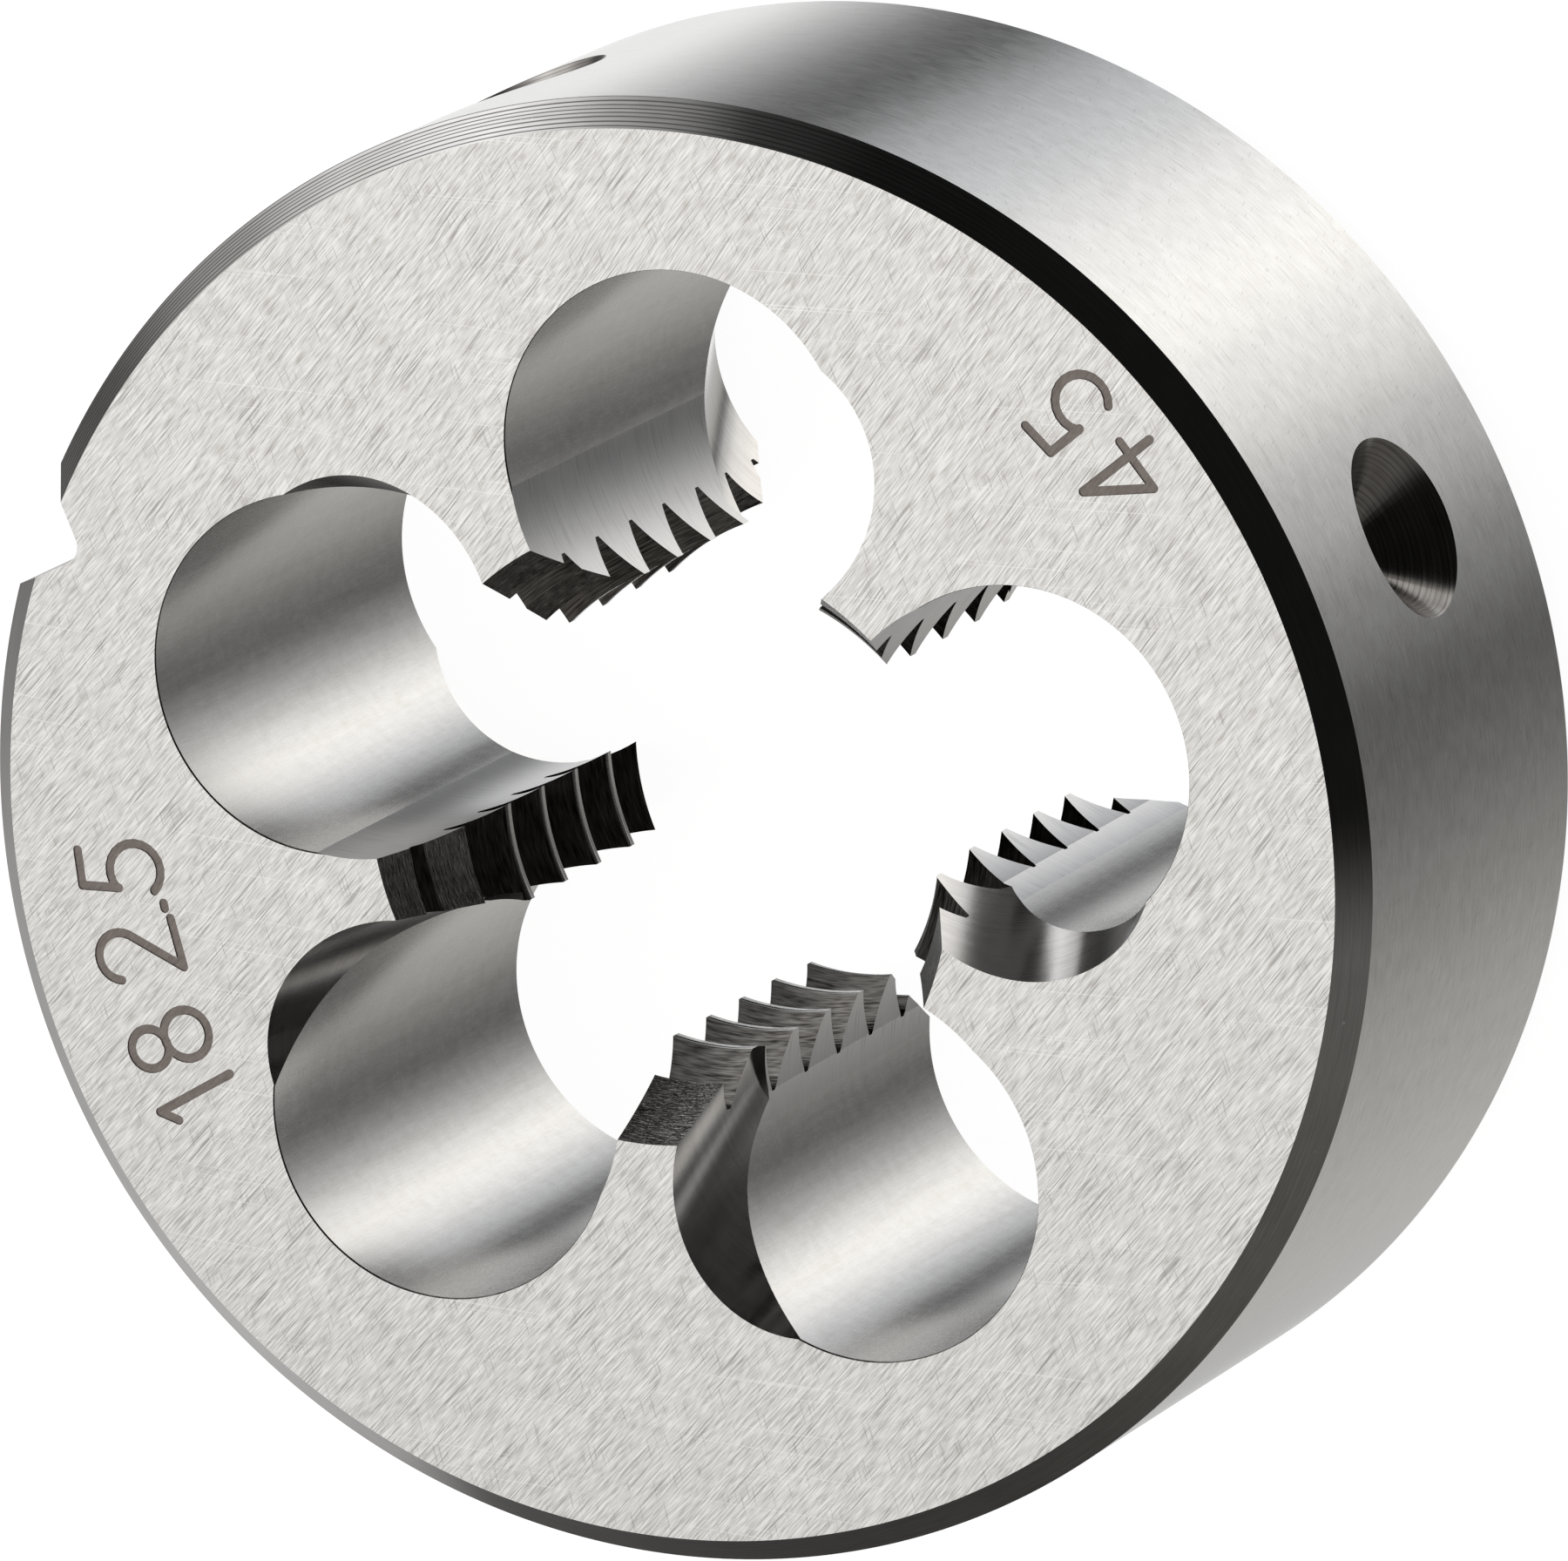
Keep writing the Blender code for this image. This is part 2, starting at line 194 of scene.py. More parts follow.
# What a user would change on the finishes. Sizes are in mm. lines: length, width, share. detail: how finely the
# lines are broken up. patches: size, share. scratches: turn from the lines in degrees, length, width, how rare,
# strength, colour. flecks: size, how rare, strength, colour. rings: pitch, strength, drift, depth, colour.
# ringsFrom: where along u the rings start and where they are full. bump: height of the finest lines. edge: how
# bright and what colour a grazing look along the surface is.
finishes = dict(
    # surface ground: dense short strokes in flat arcs, drawn coarse enough to show, so a soft warm grey sheen
    groundFace=dict(light="#ffffff", dark="#b3b0ac", lines=((0.60, 0.055, 1.5), (2.2, 0.08, 0.42)),
                    patches=(2.2, 0.16), roughness=(0.32, 0.42), anisotropy=0.45, bump=0.0016,
                    scratches=((1, 2.4, 0.055, 0.71, 0.50, "#7f7b77"), (58, 1.1, 0.06, 0.76, 0.35, "#8d8985"),
                               (-1, 1.8, 0.055, 0.72, 0.60, "#ffffff"), (-52, 9.0, 0.06, 0.78, 0.35, "#ffffff"))),
    # centreless ground: short fine dashes round the rim, faintly mottled, so its reflections smear softly
    groundRim=dict(light="#ffffff", dark="#c4c2bf", lines=((0.7, 0.08, 0.55), (3.0, 0.12, 0.20)),
                   patches=(0.7, 0.50), roughness=(0.17, 0.25), anisotropy=0.35, bump=0.0011,
                   scratches=((1, 1.6, 0.07, 0.74, 0.25, "#9a9793"), (72, 0.6, 0.06, 0.78, 0.25, "#8a8784"))),
    # turned before hardening: a few ridges from the tool's feed
    turnedChamfer=dict(light="#dcdad7", dark="#aaa7a3", lines=((6.0, 0.06, 0.6), (1.0, 0.08, 0.4)),
                       patches=(1.6, 0.40), roughness=(0.13, 0.18), anisotropy=0.3, bump=0.0008,
                       flecks=((0.16, 0.77, 0.5, "#ffffff"),), rings=(0.165, 0.90, 3.0, 0.3, "#2f2c2a"),
                       ringsFrom=(98, 118)),
    # drilled and reamed: satin, clouded, with faint lines along the hole
    drilledWall=dict(light="#ffffff", dark="#d3d0cc", lines=((5.0, 0.30, 0.35), (0.6, 0.07, 0.40)),
                     patches=(0.5, 0.60), roughness=(0.23, 0.31), anisotropy=0.15, bump=0.0012),
    # hollow ground by a small wheel: satin with fine bright scratches in arches
    groundFlank=dict(light="#ffffff", dark="#dddcdd", lines=((1.8, 0.05, 0.8), (6.0, 0.10, 0.5)),
                     patches=(0.9, 0.50), roughness=(0.28, 0.38), anisotropy=0.3, bump=0.0016,
                     scratches=((2, 3.0, 0.05, 0.70, 0.55, "#ffffff"), (-4, 2.0, 0.05, 0.74, 0.40, "#7d7f82"))),
    # edges of the chip holes, broken with a stone: a faint dark line
    brokenEdge=dict(light="#8c8883", dark="#2f2b28", lines=((0.5, 0.10, 1.2), (1.5, 0.3, 0.8)),
                    patches=(0.5, 0.9), roughness=(0.35, 0.45), anisotropy=0.0, bump=0.004),
    # spiral point, ground fine: near a mirror, so it shows black and bright bands
    wheelGrind=dict(light="#f1efed", dark="#b7b3af", lines=((2.5, 0.06, 0.55), (8.0, 0.25, 0.35)),
                    patches=(0.8, 0.40), roughness=(0.11, 0.19), anisotropy=0.3, bump=0.0009,
                    flecks=((0.14, 0.77, 0.5, "#4a4642"),)),
    # thread sides and groove bottoms, chased by the tap that cut them: dark, partly their own oxide and partly
    # painted shade of the deep grooves
    threadSide=dict(light="#a09c97", dark="#322e2b", lines=((0.7, 0.05, 1.3), (2.2, 0.08, 0.6)),
                    patches=(0.8, 0.6), roughness=(0.11, 0.20), anisotropy=0.2, bump=0.0030, edge="#8c8c8c"),
    # crests of the teeth, rubbed bright
    toothTip=dict(light="#ffffff", dark="#c9c6c2", lines=((2.0, 0.05, 0.6), (0.5, 0.1, 0.4)),
                  patches=(0.8, 0.5), roughness=(0.16, 0.24), anisotropy=0.2, bump=0.0012),
    # relieved lead, backed off with a coarse wheel: a torn skin that sparkles where there is light to catch
    leadCone=dict(light="#f4f0eb", dark="#5f5953", lines=((0.34, 0.055, 1.3), (1.2, 0.09, 0.7)), detail=2.0,
                  patches=(0.4, 0.8), roughness=(0.18, 0.28), anisotropy=0.1, bump=0.0220, edge="#808080"),
    # milled notch: plain dark grey
    milledNotch=dict(light="#9a9793", dark="#575451", lines=((4.0, 0.14, 0.7), (1.0, 0.08, 0.5)),
                     patches=(1.2, 0.5), roughness=(0.28, 0.36), anisotropy=0.3, bump=0.0025),
    # countersunk screw seat: rings from the drill's lips under a black skin
    drilledSeat=dict(light="#cfcac5", dark="#7d7873", lines=((5.0, 0.09, 0.7), (1.2, 0.07, 0.5)),
                     patches=(1.4, 0.6), roughness=(0.18, 0.26), anisotropy=0.4, bump=0.0018,
                     rings=(0.17, 0.35, 5.0, 0.5, "#262220")),
    # etched numbers: a shallow matt recess, brown grey
    etchedMark=dict(light="#a39a95", dark="#6f6662", lines=((0.5, 0.09, 0.7), (0.2, 0.08, 0.5)),
                    patches=(0.5, 0.6), roughness=(0.46, 0.54), anisotropy=0.0, bump=0.003),
)
steels = {name: machinedSteel(name, look) for name, look in finishes.items()}
report("materials made")


# Vectors divided by their own lengths.
def unit(vectors):
    return vectors / np.maximum(np.linalg.norm(vectors, axis=-1, keepdims=True), 1e-12)


# A closed skin through rings of points, an array (rings, points, 3): each point is joined to its neighbour and to
# the next ring, and the first and last rings are filled. around names the finish of each strip from a ring to the
# next, along instead that of each strip from a point to its neighbour, caps that of the flat ends. The sum of
# the small volumes between the faces and the middle says whether the skin has to be turned to face outwards.
def lofted(name, rings, around, caps=None, along=None):
    rings = np.asarray(rings, float)
    rows, columns = rings.shape[:2]
    low = np.arange(rows - 1)[:, None] * columns + np.arange(columns)[None, :]
    turn = np.roll(low, -1, axis=1)
    quads = np.stack([low, turn, turn + columns, low + columns], -1).reshape(-1, 4)
    points = rings.reshape(-1, 3)
    corners = points[quads]
    inner = points.mean(0)
    volume = np.einsum("ij,ij->i", corners[:, 0] - inner,
                       np.cross(corners[:, 1] - inner, corners[:, 2] - inner)
                       + np.cross(corners[:, 2] - inner, corners[:, 3] - inner)).sum()
    first, last = np.arange(columns)[::-1], np.arange(columns) + (rows - 1) * columns
    if volume < 0:
        quads, first, last = quads[:, ::-1], first[::-1], last[::-1]
    strips = along or around
    caps = caps or strips[0]
    names = list(dict.fromkeys([*strips, caps]))
    index = [names.index(finish) for finish in strips]
    index = np.tile(index, rows - 1) if along else np.repeat(index, columns)
    mesh = bpy.data.meshes.new(name)
    mesh.from_pydata(points.tolist(), [], quads.tolist() + [first.tolist(), last.tolist()])
    mesh.polygons.foreach_set("material_index", np.append(index, [names.index(caps)] * 2).astype(np.int32))
    for finish in names:
        mesh.materials.append(steels[finish])
    return bpy.data.objects.new(name, mesh)


# A level circle: radius times the cosine and sine of the angle, at one height.
def ringPoints(radius, height, steps):
    angle = np.arange(steps) * 2 * pi / steps
    return np.stack([radius * np.cos(angle), radius * np.sin(angle), np.full(steps, float(height))], -1)


# An outline in plan, drawn straight up from low to high.
def standing(outline, low=-overshoot, high=None):
    high = body["thickness"] + overshoot if high is None else high
    outline = np.asarray(outline, float)
    return np.stack([np.column_stack([outline, np.full(len(outline), z)]) for z in (low, high)])


# Points on an arc: the middle plus radius times the cosine and sine of an angle from start to end.
def arcPoints(middle, radius, start, end, steps):
    angle = np.linspace(start, end, steps + 1)
    return np.column_stack([middle[0] + radius * np.cos(angle), middle[1] + radius * np.sin(angle)])


# The same points turned about the die's axis.
def turnedAbout(rings, angle):
    c, s = cos(angle), sin(angle)
    return rings @ np.array([[c, s, 0], [-s, c, 0], [0, 0, 1]])


# The same points turned over about the X axis at half the die's thickness.
def turnedOver(rings):
    return rings * (1, -1, -1) + (0, 0, body["thickness"])


# Where a spiral point's wheel stands, as a matrix: its own axis is local Z.
def wheelPlace(side, hole):
    inward, aside = wheel[side]
    place = Matrix.Translation((holeCircle - inward, -aside, body["thickness"]))
    place = place @ Matrix.Rotation(wheel["heading"], 4, "Z") @ Matrix.Rotation(-wheel["tilt"], 4, "Y")
    if side == "rear":
        middle = Matrix.Translation((0, 0, midHeight))
        place = middle @ Matrix.Rotation(pi, 4, "X") @ middle.inverted() @ place
    return np.array(Matrix.Rotation(hole * holePitch, 4, "Z") @ place)


# The same points turned and moved by a matrix.
def moved(rings, matrix):
    return rings @ matrix[:3, :3].T + matrix[:3, 3]


# The lead cone: on each land its radius is the mouth's, plus the slope times the height, plus a relief that
# falls evenly from the heel to the cutting edge.
def leadRings(length):
    slope = (lead["radius"] - tipRadius) / length
    off = holePitch * ((np.arange(lead["steps"]) + 0.5) / lead["steps"] - 0.5)
    middle = (np.arange(land["count"]) + 0.5) * holePitch + land["turn"]
    angle = (middle[:, None] + off[None, :]).ravel()
    back = np.tile(lead["relief"] * (0.5 - off / landAngle), land["count"])
    rings = []
    for height in (-length - overshoot, overshoot):
        radius = lead["radius"] + slope * height + back
        rings.append(np.stack([radius * np.cos(angle), radius * np.sin(angle),
                               np.full(len(angle), body["thickness"] + height)], -1))
    return np.array(rings)


# The V groove: one small section carried up the helix, its flat bottom at the root radius.
def grooveRings():
    inner = tipRadius - thread["tipFlat"] / 4
    innerHalf = thread["rootFlat"] / 2 + (thread["rootRadius"] - inner) * thread["slope"]
    half = thread["rootFlat"] / 2
    section = np.array([(inner, -innerHalf), (thread["rootRadius"], -half),
                        (thread["rootRadius"], half), (inner, innerHalf)])
    first = body["thickness"] - thread["firstRootDepth"]
    start = first - (int(first / thread["pitch"]) + 2) * thread["pitch"]
    turns = int((body["thickness"] - start) / thread["pitch"]) + 2
    turn = np.arange(turns * thread["stepsPerTurn"] + 1) / thread["stepsPerTurn"]
    angle = 2 * pi * turn[:, None]
    return np.stack([section[None, :, 0] * np.cos(angle), section[None, :, 0] * np.sin(angle),
                     start + turn[:, None] * thread["pitch"] + section[None, :, 1]], -1)


# The two hollow flanks of neighbouring lands, each an arc from its tooth tip out into the chip hole. On the
# cutting side the arc never comes nearer to the hole's middle than the hole's radius plus a slim wedge, so that
# the ground strip runs on past the roots of the thread and fades out into the hole.
def flankOutline():
    inner = pi - asin(-flankMiddle[1] / flankRadius)
    heel = arcPoints(flankMiddle, flankRadius, pi / 2, inner, land["flankSteps"])
    cutting = (heel * (1, -1))[-2::-1]
    middle = holeCircle * np.array([cos(land["turn"]), -sin(land["turn"])])
    away = cutting - middle
    bearing = np.arctan2(away[:, 1], away[:, 0]) + land["turn"]
    wedge = holeRadius * (1 + land["stripSlope"] * (land["stripEnd"] - bearing))
    reach = np.maximum(np.hypot(away[:, 0], away[:, 1]), np.where(bearing > 0, 0, wedge))
    cutting = middle + unit(away) * reach[:, None]
    return np.concatenate([heel, cutting])


# The V across the rim: two straight sides meeting in a small arc.
def notchOutline():
    middle = (body["radius"] - notch["depth"] + notch["bottomRadius"], 0.0)
    bottom = arcPoints(middle, notch["bottomRadius"], pi / 2 + notch["half"], 3 * pi / 2 - notch["half"],
                       notch["steps"])
    reach = body["radius"] + overshoot - bottom[0, 0]
    mouth = np.array([reach, reach * tan(notch["half"])])
    return np.concatenate([[bottom[0] + mouth], bottom, [bottom[-1] + mouth * (1, -1)]])


# Where a screw seat stands, as a matrix: its own axis is local Z, out through the rim.
def dimplePlace(angle):
    return np.array(Matrix.Rotation(radians(angle), 4, "Z") @ Matrix.Translation((0, 0, midHeight))
                    @ Matrix.Rotation(pi / 2, 4, "Y"))


# The screw seat: a right-angled cone along local Z, its mouth where the rim is cut.
def dimpleRings():
    mouth = (body["radius"] ** 2 - dimple["mouthRadius"] ** 2) ** 0.5
    return np.array([ringPoints(dimple["pointRadius"], mouth - dimple["mouthRadius"] + dimple["pointRadius"],
                                dimple["steps"]),
                     ringPoints(dimple["mouthRadius"] + overshoot, mouth + overshoot, dimple["steps"])])


# A digit one high and 0.6 wide as single lines, each a row of points.
def digitStrokes(digit):
    def bend(x, y, radius, start, end, squash=1.0):
        turn = np.radians(np.linspace(start, end, 17))
        return np.column_stack([x + radius * np.cos(turn), y + radius * squash * np.sin(turn)])
    lines = {
        "1": [[(0.34, 0), (0.34, 1)], [(0.34, 1), (0.16, 0.84)]],
        "2": [bend(0.3, 0.72, 0.27, 165, -35), [(0.52, 0.56), (0.04, 0.0)], [(0.04, 0.0), (0.6, 0.0)]],
        "4": [[(0.46, 0), (0.46, 1)], [(0.46, 1), (0.02, 0.3)], [(0.02, 0.3), (0.64, 0.3)]],
        "5": [[(0.54, 1.0), (0.14, 1.0)], [(0.14, 1.0), (0.09, 0.56)], bend(0.27, 0.33, 0.31, 126, -140)],
        "8": [bend(0.3, 0.765, 0.225, 90, 270), bend(0.3, 0.765, 0.225, -90, 90),
              bend(0.3, 0.275, 0.275, 90, 270), bend(0.3, 0.275, 0.275, -90, 90)],
        ".": [[(0.27, 0.05), (0.33, 0.05)]],
    }
    return [np.asarray(line, float) for line in lines[digit]]


# A line given width: its points moved half a width to each side, with a round end at both ends.
def strokeOutline(line, half):
    step = np.gradient(line, axis=0)
    step /= np.linalg.norm(step, axis=1)[:, None]
    side = np.column_stack([-step[:, 1], step[:, 0]]) * half
    ends = []
    for point, way, start in ((line[-1], step[-1], pi / 2), (line[0], -step[0], pi / 2)):
        turn = atan2(way[1], way[0]) + np.linspace(start, -start, 9)[1:-1]
        ends.append(point + half * np.column_stack([np.cos(turn), np.sin(turn)]))
    return np.concatenate([line + side, ends[0], (line - side)[::-1], ends[1]])


# The broken edge of a chip hole: a cone at 45 degrees that opens upwards through the face.
def edgeRings():
    middle, face = (holeCircle, 0, 0), body["thickness"] - broken["width"]
    return np.array([middle + ringPoints(holeRadius - broken["below"], face - broken["below"], land["holeSteps"]),
                     middle + ringPoints(holeRadius + broken["above"], face + broken["above"], land["holeSteps"])])


# Each stroke of each number, standing in the marked face, placed along an arc with its top out or in.
def markRings():
    made = []
    for digit, angle, baseRadius, way in marks["words"]:
        out = np.array([cos(radians(angle)), sin(radians(angle))])
        along = np.array([out[1], -out[0]]) * way
        for line in digitStrokes(digit):
            line = (line - (0.3, 0)) * marks["height"]
            outline = strokeOutline(line, marks["strokeWidth"] / 2)
            plan = out * baseRadius + outline[:, :1] * along + outline[:, 1:] * out * way
            made.append(standing(plan, body["thickness"] - marks["depth"], body["thickness"] + 0.5))
    return made


report("tools ready")
rimTop = body["radius"] - body["chamferWidth"]
blankRings = [ringPoints(rimTop, 0, body["steps"]),
              ringPoints(body["radius"], body["chamferHeight"], body["steps"]),
              ringPoints(body["radius"], body["thickness"] - body["chamferHeight"], body["steps"]),
              ringPoints(rimTop, body["thickness"], body["steps"])]
die = lofted("threadingDie", blankRings, ("turnedChamfer", "groundRim", "turnedChamfer"), caps="groundFace")
bpy.context.scene.collection.objects.link(die)
tools = bpy.data.collections.new("tools")
bpy.context.scene.collection.children.link(tools)
boreRings = [ringPoints(tipRadius, height, thread["boreSteps"])
             for height in (-overshoot, body["thickness"] + overshoot)]
cutters = [lofted("bore", boreRings, ("toothTip",))]
holeRings = standing((holeCircle, 0) + ringPoints(holeRadius, 0, land["holeSteps"])[:, :2])
wheelRings = np.array([ringPoints(wheelRadius, -wheel["reach"], wheel["steps"]),
                       ringPoints(wheelRadius, 2 * wheelRadius, wheel["steps"])])
for k in range(land["count"]):
    cutters.append(lofted("hole", turnedAbout(holeRings, k * holePitch), ("drilledWall",)))
    cutters.append(lofted("flank", turnedAbout(standing(flankOutline()), k * holePitch + land["turn"]),
                          ("groundFlank",)))
    for side in ("front", "rear"):
        cutters.append(lofted("wheel", moved(wheelRings, wheelPlace(side, k)), ("wheelGrind",)))
    cutters.append(lofted("edge", turnedAbout(edgeRings(), k * holePitch) + broken["shift"], ("brokenEdge",)))
    cutters.append(lofted("rearEdge", turnedAbout(turnedOver(edgeRings()), k * holePitch), ("brokenEdge",)))
cutters.append(lofted("lead", leadRings(lead["length"]), ("leadCone",)))
cutters.append(lofted("rearLead", turnedOver(leadRings(lead["rearLength"])), ("leadCone",)))
cutters.append(lofted("groove", grooveRings(), None, along=("threadSide", "threadSide", "threadSide", "toothTip")))
cutters.append(lofted("notch", standing(notchOutline()), ("milledNotch",)))
for angle in dimple["angles"]:
    for sign in (1, -1):
        cutters.append(lofted("dimple", moved(dimpleRings(), dimplePlace(sign * angle)), ("drilledSeat",)))
cutters += [lofted("mark", rings, ("etchedMark",)) for rings in markRings()]
for cutter in cutters:
    tools.objects.link(cutter)
cutting = die.modifiers.new("cutting", "BOOLEAN")
cutting.operation = "DIFFERENCE"
cutting.solver = "EXACT"
cutting.operand_type = "COLLECTION"
cutting.collection = tools
cutting.material_mode = "TRANSFER"
bpy.context.view_layer.update()
view = bpy.context.evaluated_depsgraph_get()
cut = bpy.data.meshes.new_from_object(die.evaluated_get(view))
die.modifiers.clear()
die.data = cut
for cutter in cutters:
    bpy.data.objects.remove(cutter, do_unlink=True)
bpy.data.collections.remove(tools)
shape = bmesh.new()
shape.from_mesh(cut)
bmesh.ops.remove_doubles(shape, verts=shape.verts, dist=weldDistance)
shape.to_mesh(cut)
shape.free()
report(f"die cut, {len(cut.polygons)} faces")

# The surface map, in mm. stretch is the length down a slope for 1 mm of its height (of radius for the chamfers),
# gap keeps the patterns of repeated surfaces apart, so that no two look alike.
surfaceMap = dict(
    stretch=dict(chamfer=1.55, thread=1.3, lead=1.12, seat=1.414), leadRadius=8.5, notchRadius=1.0, seatRadius=1.5,
    gap=dict(face=80, chamfer=9, hole=50, flank=30, wheel=30, lead=40, seat=20),
)
stretch, gap = surfaceMap["stretch"], surfaceMap["gap"]


# Seen from a tool's own axis (local Z): the normal towards the axis, the way round in mm and the way along.
# The way round starts opposite the middle of the cut, so its seam lies in the open.
def aroundTool(points, middles, place, radius):
    back = np.linalg.inv(place)
    local = moved(points, back)
    centre = moved(middles, back)
    distance = np.hypot(local[:, 0], local[:, 1])
    normal = unit(-local * (1, 1, 0)) @ place[:3, :3].T
    around = np.arctan2(centre[:, 1], centre[:, 0])
    turn = np.arctan2(local[:, 1], local[:, 0]) - np.arctan2(np.sin(around).sum(), np.cos(around).sum())
    return normal, ((turn + pi) % (2 * pi) - pi) * radius, local[:, 2], distance


# Where a standing tool stands, as a matrix.
def upright(x, y):
    made = np.identity(4)
    made[:2, 3] = x, y
    return made


# The axis of one flank's arc, at the heel side or the cutting side of a hole.
def flankPlace(hole, sign):
    angle = hole * holePitch + land["turn"]
    x, y = flankMiddle[0], sign * flankMiddle[1]
    return upright(x * cos(angle) - y * sin(angle), x * sin(angle) + y * cos(angle))


# Normals and the surface map of the cut die, worked out from the surface of the tool that cut each face: a plane,
# a cylinder, a cone or the helix. Where that disagrees with the face, the face's own normal stays.
def dressed(mesh):
    count = len(mesh.loops)
    loopVertex = np.zeros(count, np.int32)
    mesh.loops.foreach_get("vertex_index", loopVertex)
    points = np.zeros(len(mesh.vertices) * 3)
    mesh.vertices.foreach_get("co", points)
    points = points.reshape(-1, 3)[loopVertex]
    faces = len(mesh.polygons)
    starts, totals, index = (np.zeros(faces, np.int32) for _ in range(3))
    mesh.polygons.foreach_get("loop_start", starts)
    mesh.polygons.foreach_get("loop_total", totals)
    mesh.polygons.foreach_get("material_index", index)
    faceNormal, middle = np.zeros(faces * 3), np.zeros(faces * 3)
    mesh.polygons.foreach_get("normal", faceNormal)
    mesh.polygons.foreach_get("center", middle)
    faceNormal, middle = faceNormal.reshape(-1, 3), middle.reshape(-1, 3)
    owner = np.repeat(np.arange(faces), totals)
    names = np.array([m.name for m in mesh.materials])[index]
    normals = faceNormal[owner].copy()
    surface = np.zeros((count, 2))
    radial = unit(points * (1, 1, 0))
    radius = np.hypot(points[:, 0], points[:, 1])
    turn = np.arctan2(points[:, 1], points[:, 0]) % (2 * pi)
    sideways = np.column_stack([-radial[:, 1], radial[:, 0], np.zeros(count)])

    # the worked out normal where it agrees with the face, and the place on the surface map
    def put(chosen, normal, u, v, offset=0.0, least=0.9):
        agree = np.einsum("ij,ij->i", normal, faceNormal[owner[chosen]]) > least
        normals[chosen] = np.where(agree[:, None], normal, faceNormal[owner[chosen]])
        surface[chosen] = np.column_stack([u, v + offset])

    def corners(mask):
        return np.nonzero(mask[owner])[0]

    # flat faces: u runs along the grinding lines, long arcs about the middle of the grinding table
    chosen = corners(np.isin(names, ("groundFace", "etchedMark")))
    table = grinding["tableRadius"] * np.array([cos(grinding["bearing"]), sin(grinding["bearing"])])
    away = points[chosen, :2] - table
    along = np.arctan2(away[:, 1] * table[0] - away[:, 0] * table[1], -(away @ table))
    put(chosen, faceNormal[owner[chosen]], -along * grinding["tableRadius"],
        np.hypot(away[:, 0], away[:, 1]), gap["face"] * (points[chosen, 2] < midHeight))
    # rim, chamfers: u runs round the die from the notch
    chosen = corners(names == "groundRim")
    put(chosen, radial[chosen], turn[chosen] * body["radius"], points[chosen, 2])
    chosen = corners(names == "turnedChamfer")
    up = np.sign(points[chosen, 2] - midHeight)[:, None]
    slant = unit(radial[chosen] * body["chamferHeight"] + up * np.array([0, 0, body["chamferWidth"]]))
    put(chosen, slant, turn[chosen] * body["radius"],
        (body["radius"] - radius[chosen]) * stretch["chamfer"], np.where(up[:, 0] > 0, 0, gap["chamfer"]))
    # holes, flanks and wheels: each face belongs to the tool whose surface it lies nearest to
    holes = [(upright(holeCircle * cos(k * holePitch), holeCircle * sin(k * holePitch)), holeRadius)
             for k in range(land["count"])]
    flanks = [(flankPlace(k, sign), flankRadius) for k in range(land["count"]) for sign in (1, -1)]
    strips = [(place, holeRadius + 0.02) for place, _ in holes]
    wheels = [(wheelPlace(side, k), wheelRadius) for k in range(land["count"]) for side in ("front", "rear")]
    for name, places, step in (("drilledWall", holes, gap["hole"]), ("groundFlank", flanks + strips, gap["flank"]),
                               ("wheelGrind", wheels, gap["wheel"])):
        mine = np.nonzero(names == name)[0]
        miss = np.stack([np.abs(np.hypot(*moved(middle[mine], np.linalg.inv(place))[:, :2].T) - size)
                         for place, size in places])
        if name == "wheelGrind":  # a wheel only cuts its own face of the die
            upper = np.arange(len(places)) % 2 == 0
            miss += 50 * ((middle[mine, 2] > midHeight)[None, :] != upper[:, None])
        best = miss.argmin(0)
        for i, (place, size) in enumerate(places):
            mask = np.zeros(faces, bool)
            mask[mine[best == i]] = True
            if mask.any():
                chosen = corners(mask)
                normal, around, down, _ = aroundTool(points[chosen], middle[mask], place, size)
                u, v = (down, around) if name == "drilledWall" else (around, down)
                put(chosen, normal, u, v, step * i)
    # thread: u runs along the helix, v is the height above it
    chosen = corners(np.isin(names, ("threadSide", "toothTip")))
    climb = points[chosen, 2] - thread["pitch"] * turn[chosen] / (2 * pi)
    flat = faceNormal[owner[chosen]]
    inward = -radial[chosen]
    tilt = np.sign(flat[:, 2])[:, None]
    side = unit(inward * thread["slope"] + tilt * (np.array([0, 0, 1.0])
                - sideways[chosen] * (thread["pitch"] / (2 * pi * radius[chosen]))[:, None]))
    bottom = (np.einsum("ij,ij->i", inward, flat) > 0.95)[:, None]
    put(chosen, np.where(bottom, inward, side), turn[chosen] * radius[chosen], climb * stretch["thread"])
    # crests look rounded: the normal leans by up to 60 degrees towards each side of the tooth
    crest = (names[owner[chosen]] == "toothTip") & bottom[:, 0]
    some = chosen[crest]
    offCrest = (climb[crest] - body["thickness"] + thread["firstRootDepth"]) / thread["pitch"]
    offCrest = (offCrest % 1 - 0.5) * thread["pitch"] / (thread["tipFlat"] / 2)
    lean = thread["crestLean"] * np.clip(offCrest, -1, 1)[:, None] * np.array([0, 0, 1.0])
    put(some, unit(inward[crest] + lean), turn[some] * radius[some], climb[crest] * stretch["thread"], least=0.45)
